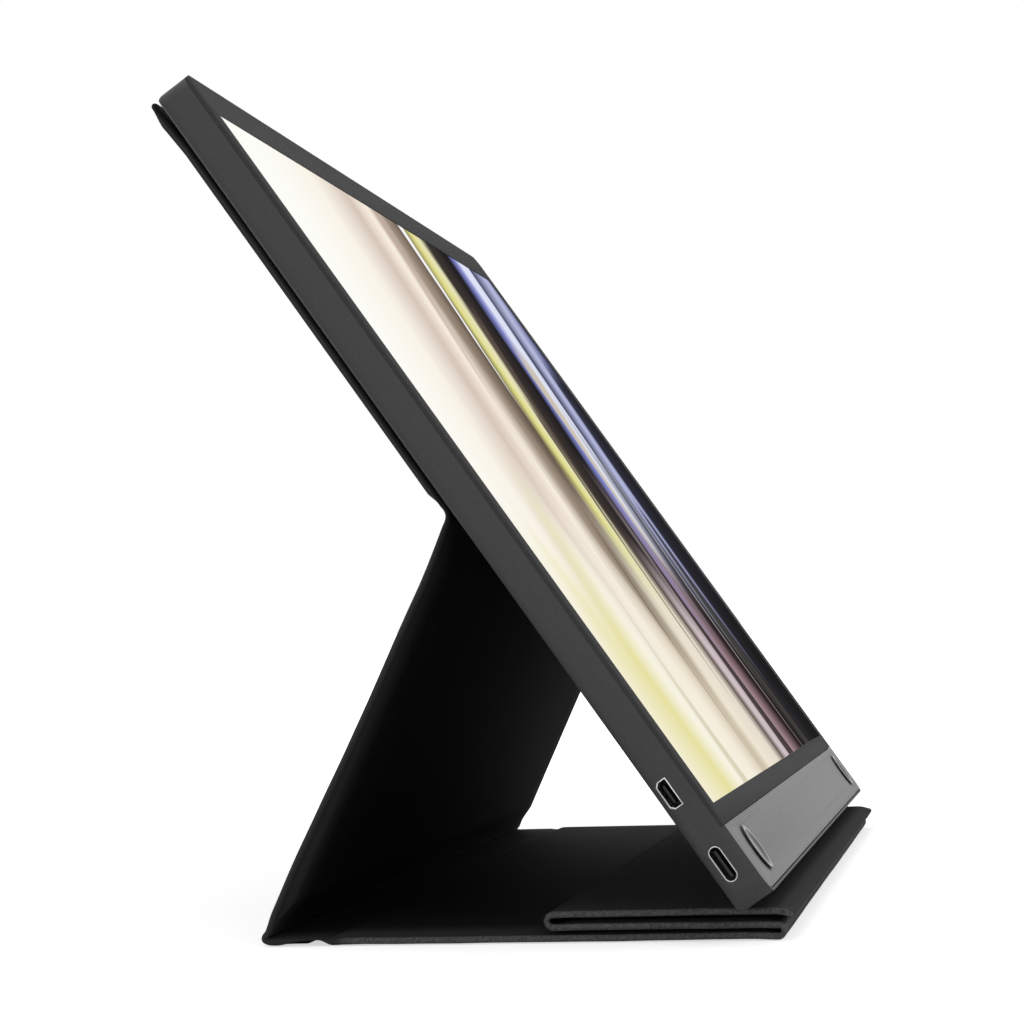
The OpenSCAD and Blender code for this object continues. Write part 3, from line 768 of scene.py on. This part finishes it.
def leg_bow(u):
    """The leg's hems bend back above the foot and swell below the upper fold."""
    bend = BOW + BOW_MORE * smooth((u - CREASE) / BOW_GROW)
    return SWELL * hump(u, LEG_LEN - SWELL_IN, SWELL_WIDE) - bend * smooth((BOW_END - u) / BOW_FADE)


def back_flare(u):
    """The back panel's tip turns away from the monitor."""
    return -FLARE * smooth((u - TIP_H + FLARE_LEN) / FLARE_LEN)


def flap_droop(u):
    """The upper layer's free edge hangs down a little."""
    return -DROOP * smooth((u - FLAP_B_LEN + DROOP_LEN) / DROOP_LEN)


def cover_panels():
    base = Panel(
        "base", "base", FLOOR, u=(APART, BASE_END), board=(HEM_W, FOLD_SPINE[0] - BASE_HEM),
        low=0, top=PANEL_T, mid=HALF_HEM, lift=0.25, seed=0.4)
    spine = Panel(
        "spine", "spine", FLOOR, u=(SPINE_START, SPINE_END),
        board=(SPINE_START + SPINE_HEM, SPINE_END - SPINE_HEM),
        low=0, top=SPINE_T, mid=SPINE_T / 2, thin=arch)
    leg = Panel(
        "leg", "leg", LEG, u=(CREASE, LEG_LEN - BACK_CREASE),
        board=(LEG_HEM, LEG_LEN - LEG_TOP_HEM),
        low=-FOLD_LEG[1], top=PANEL_T - FOLD_LEG[1], mid=LEG_MID, lift=0.2, seed=1.9, bow=leg_bow)
    back = Panel(
        "back", "back_panel", SCREEN, u=(FOLD_H + BACK_CREASE, TIP_H),
        board=(FOLD_H + BACK_HEM, TIP_H - TIP_HEM), low=BACK_LOW, top=BACK_TOP, mid=BACK_MID,
        free=(0, CORNER_R), lift=0.25, seed=3.1, droop=back_flare)
    flap_a = Panel(
        "flap_a", "flap_a", LAYER_A, u=(APART, FLAP_A_LEN - APART),
        board=(HEM_W, FLAP_A_LEN - HEM_W), low=-LAYER_GAP / 2 - PANEL_T, top=-LAYER_GAP / 2,
        mid=-LAYER_GAP / 2 - HALF_HEM, lift=-0.3, seed=2.2)
    flap_b = Panel(
        "flap_b", "flap_b", LAYER_B, u=(APART, FLAP_B_LEN), board=(HEM_W, FLAP_B_LEN - HEM_W),
        low=LAYER_GAP / 2, top=LAYER_GAP / 2 + PANEL_T, mid=(LAYER_GAP + PANEL_T) / 2,
        free=(0, CORNER_R), lift=0.3, seed=4.4, droop=flap_droop)
    return base, spine, leg, back, flap_a, flap_b


for panel in cover_panels():
    panel.build()


# cover folds

def bezier(a, control, b, n=18):
    """A curve from a to b that leans towards the control point."""
    out = []
    for i in range(n + 1):
        t = i / n
        out.append(tuple((1 - t) ** 2 * a[k] + 2 * t * (1 - t) * control[k] + t * t * b[k]
                         for k in (0, 1)))
    return out


def half_turn(y, z0, z1, reach, n=22):
    """A path from one height to another, bulging by reach along y."""
    centre, r = (z0 + z1) / 2, (z1 - z0) / 2
    angles = [math.pi * i / n for i in range(n + 1)]
    return [(y + reach * math.sin(g), centre - r * math.cos(g)) for g in angles]


def halves(n, bend):
    """Half thickness along a fold: the hem's at both ends, thinner in the bend."""
    return [HALF_HEM + (bend - HALF_HEM) * smooth(1 - abs(2 * i / (n - 1) - 1))
            for i in range(n)]


def side_normals(path):
    """Unit normals to the left of a side-view path."""
    out = []
    for i in range(len(path)):
        a, b = path[max(0, i - 1)], path[min(len(path) - 1, i + 1)]
        d = math.hypot(b[0] - a[0], b[1] - a[1])
        out.append((-(b[1] - a[1]) / d, (b[0] - a[0]) / d))
    return out


def soft_fold(name, replaced, path, half, seed, lift, inside=1):
    """A soft fold swept along a side-view path, joining the panels of two bodies.

    The lining covers the left side of the path, or its right side where inside is -1.
    """
    n = len(path)
    normals = side_normals(path)

    def surface(sign):
        def at(x, i):
            bulge = lift * wave(x, seed) * math.sin(math.pi * i / (n - 1))
            k = half[i] * round_over(HALF_X - abs(x), HALF_HEM) * sign + bulge
            return place(x, path[i][0] + normals[i][0] * k, path[i][1] + normals[i][1] * k)
        return at

    o = grid_solid(name, range(n), surface(1), surface(-1), SKIN, sharp=60)
    o.data.materials.append(LINING)
    first = len(o.data.vertices) // 2
    for f in o.data.polygons:
        left = all(v < first for v in f.vertices)
        right = all(v >= first for v in f.vertices)
        f.material_index = int(left if inside == 1 else right)
    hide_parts(replaced)
    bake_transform(o)


def back_leg_fold():
    """Behind the monitor, between leg and back panel."""
    start = LEG.yz(LEG_LEN - BACK_CREASE, LEG_MID)
    end = SCREEN.yz(FOLD_H + BACK_CREASE, BACK_MID)
    slack = 0.2
    path = bezier(start, (FOLD_BACK[0] - slack, FOLD_BACK[1] + slack), end)
    soft_fold("fold_back_leg", "crease_back_leg", path,
              halves(len(path), bend=0.62), seed=1.3, lift=0.12)


def leg_spine_fold():
    """At the foot, between spine and leg."""
    start = (SPINE_END, SPINE_T / 2)
    end = LEG.yz(CREASE, LEG_MID + leg_bow(CREASE))
    heel, heel_height = 2.2, 0.7
    path = bezier(start, (FOLD_LEG[0] + heel, heel_height), end)
    soft_fold("fold_leg_spine", "crease_leg_spine", path,
              halves(len(path), bend=0.66), seed=0.7, lift=0.06)


def spine_base_fold():
    """The pressed fold between base and spine, which stands off the table."""
    step, thicker, pressed = 0.25, 0.1, 0.2
    path, half = [], []
    for y in spread(BASE_END, SPINE_START, step):
        k = (y - BASE_END) / (SPINE_START - BASE_END)
        top = 2 * HALF_HEM + thicker * k - pressed * math.sin(math.pi * k)
        path.append((y, (top + arch(y)) / 2))
        half.append((top - arch(y)) / 2)
    soft_fold("fold_spine_base", "crease_spine_base", path, half,
              seed=2.1, lift=0.0)


# hem middles of the base, the lower layer and the upper layer
BASE_HEM_Z = HALF_HEM
LAYER_A_HEM_Z = FOLD_A[1] + LAYER_GAP / 2 + HALF_HEM
LAYER_B_HEM_Z = FOLD_B[1] + (LAYER_GAP + PANEL_T) / 2


def base_flap_fold():
    """In front, between base and lower layer: a half turn from one hem to the other."""
    path = half_turn(FOLD_A[0] + APART, BASE_HEM_Z, LAYER_A_HEM_Z, reach=-1.25)
    soft_fold("fold_base_a", "crease_base_a", path,
              halves(len(path), bend=0.6), seed=0.2, lift=0.08,
              inside=-1)


def flap_flap_fold():
    """At the rear, between the two layers."""
    path = half_turn(FOLD_B[0] - APART, LAYER_A_HEM_Z, LAYER_B_HEM_Z, reach=1.7)
    soft_fold("fold_a_b", "crease_a_b", path,
              halves(len(path), bend=0.62), seed=3.3, lift=0.1,
              inside=-1)


back_leg_fold()
leg_spine_fold()
spine_base_fold()
base_flap_fold()
flap_flap_fold()


# monitor: the CAD solids with their finishes and softened edges

BEVELS = {
    "rear_casing": 0.3, "front_bezel": 0.3, "control_strip": 0.12, "power_button": 0.18,
    "menu_button": 0.18, "usb_c_shell": 0.08, "hdmi_shell": 0.08, "usb_c_tongue": 0.08,
    "hdmi_tongue": 0.08,
}
BEVEL_FROM, SHARP_FROM = math.radians(35), math.radians(32)
WELD = 0.001
SLOTS = {s["node"]: s["material_slot"] for s in frame["record"]["subparts"]}
# The cell lies under the lit front and doesn't shine itself.
SLOTS["lcd_cell"] = "light_guide"


def soften(o, width):
    """Rounds a solid's edges by a bevel of this width."""
    weld = o.modifiers.new("weld", "WELD")
    weld.merge_threshold = WELD * MM
    bevel = o.modifiers.new("edge", "BEVEL")
    bevel.width = width * MM
    bevel.segments = 3
    bevel.limit_method = "ANGLE"
    bevel.angle_limit = BEVEL_FROM
    bevel.harden_normals = True
    bevel.use_clamp_overlap = True
    o.data.shade_smooth()
    o.data.set_sharp_from_angle(angle=SHARP_FROM)


for node_name, node in frame["nodes"].items():
    node.data.materials.clear()
    node.data.materials.append(MATERIALS[SLOTS[node_name]])
    if node_name in BEVELS:
        soften(node, BEVELS[node_name])


# stage and light, with places and sizes in metres

WHITE = (1, 1, 1, 1)
FLOOR_SIDE, FLOOR_Z = 30, -0.0002
FLOOR_GLOW, FAR_GLOW, FAR_FROM, FAR_TO = 0.62, 0.45, 0.25, 0.7
WORLD_FILL = 0.42

# lights: name, place, aim, width and height, and watts
LIGHTS = [
    ("key", (-0.9, -1.1, 1.3), (0, 0, 0.1), (1.0, 1.0), 4),
    ("side", (-1.6, 0.3, 0.5), (0, 0, 0.08), (0.8, 0.6), 2.2),
    ("top", (0.2, 0.2, 1.7), (0, 0, 0), (1.4, 1.0), 4.5),
]


def floor_material():
    """A white floor that glows for the camera alone, more so far from the part."""
    m = Material("floor_white", (0.93, 0.93, 0.93, 1), rough=0.9, spec=0.0)
    far = m.node("ShaderNodeVectorMath", operation="LENGTH")
    m.link(m.coords(), far.inputs[0])
    rays = m.node("ShaderNodeLightPath").outputs
    glow = m.times_add(m.between(far.outputs["Value"], FAR_FROM, FAR_TO), FAR_GLOW, FLOOR_GLOW)
    m.link(m.times(glow, rays["Is Camera Ray"]), m.inputs["Emission Strength"])
    m.inputs["Emission Color"].default_value = WHITE
    return m.data


def white_floor():
    s = FLOOR_SIDE
    mesh = bpy.data.meshes.new("floor")
    mesh.from_pydata([(x, y, FLOOR_Z) for x, y in ((-s, -s), (s, -s), (s, s), (-s, s))], [],
                     [(0, 1, 2, 3)])
    mesh.materials.append(floor_material())
    floor = add("floor", mesh)


def studio_world():
    """White for the camera, mirrors and glass, and dimmer as a light on the part."""
    world = bpy.data.worlds.new("studio")
    bpy.context.scene.world = world
    world.use_nodes = True
    nodes = Nodes(world.node_tree)
    rays = nodes.node("ShaderNodeLightPath").outputs
    seen = nodes.math("MAXIMUM", rays["Is Camera Ray"], rays["Is Glossy Ray"])
    seen = nodes.math("MAXIMUM", seen, rays["Is Transmission Ray"])
    background = world.node_tree.nodes["Background"]
    background.inputs["Color"].default_value = WHITE
    nodes.link(nodes.times_add(seen, 1 - WORLD_FILL, WORLD_FILL), background.inputs["Strength"])


def area_light(name, where, aim, size, watts):
    data = bpy.data.lights.new(name, "AREA")
    data.shape = "RECTANGLE"
    data.size, data.size_y = size
    data.energy = watts
    o = add(name, data)
    o.location = where
    o.rotation_euler = (Vector(aim) - Vector(where)).to_track_quat("-Z", "Y").to_euler()


white_floor()
studio_world()
for light in LIGHTS:
    area_light(*light)
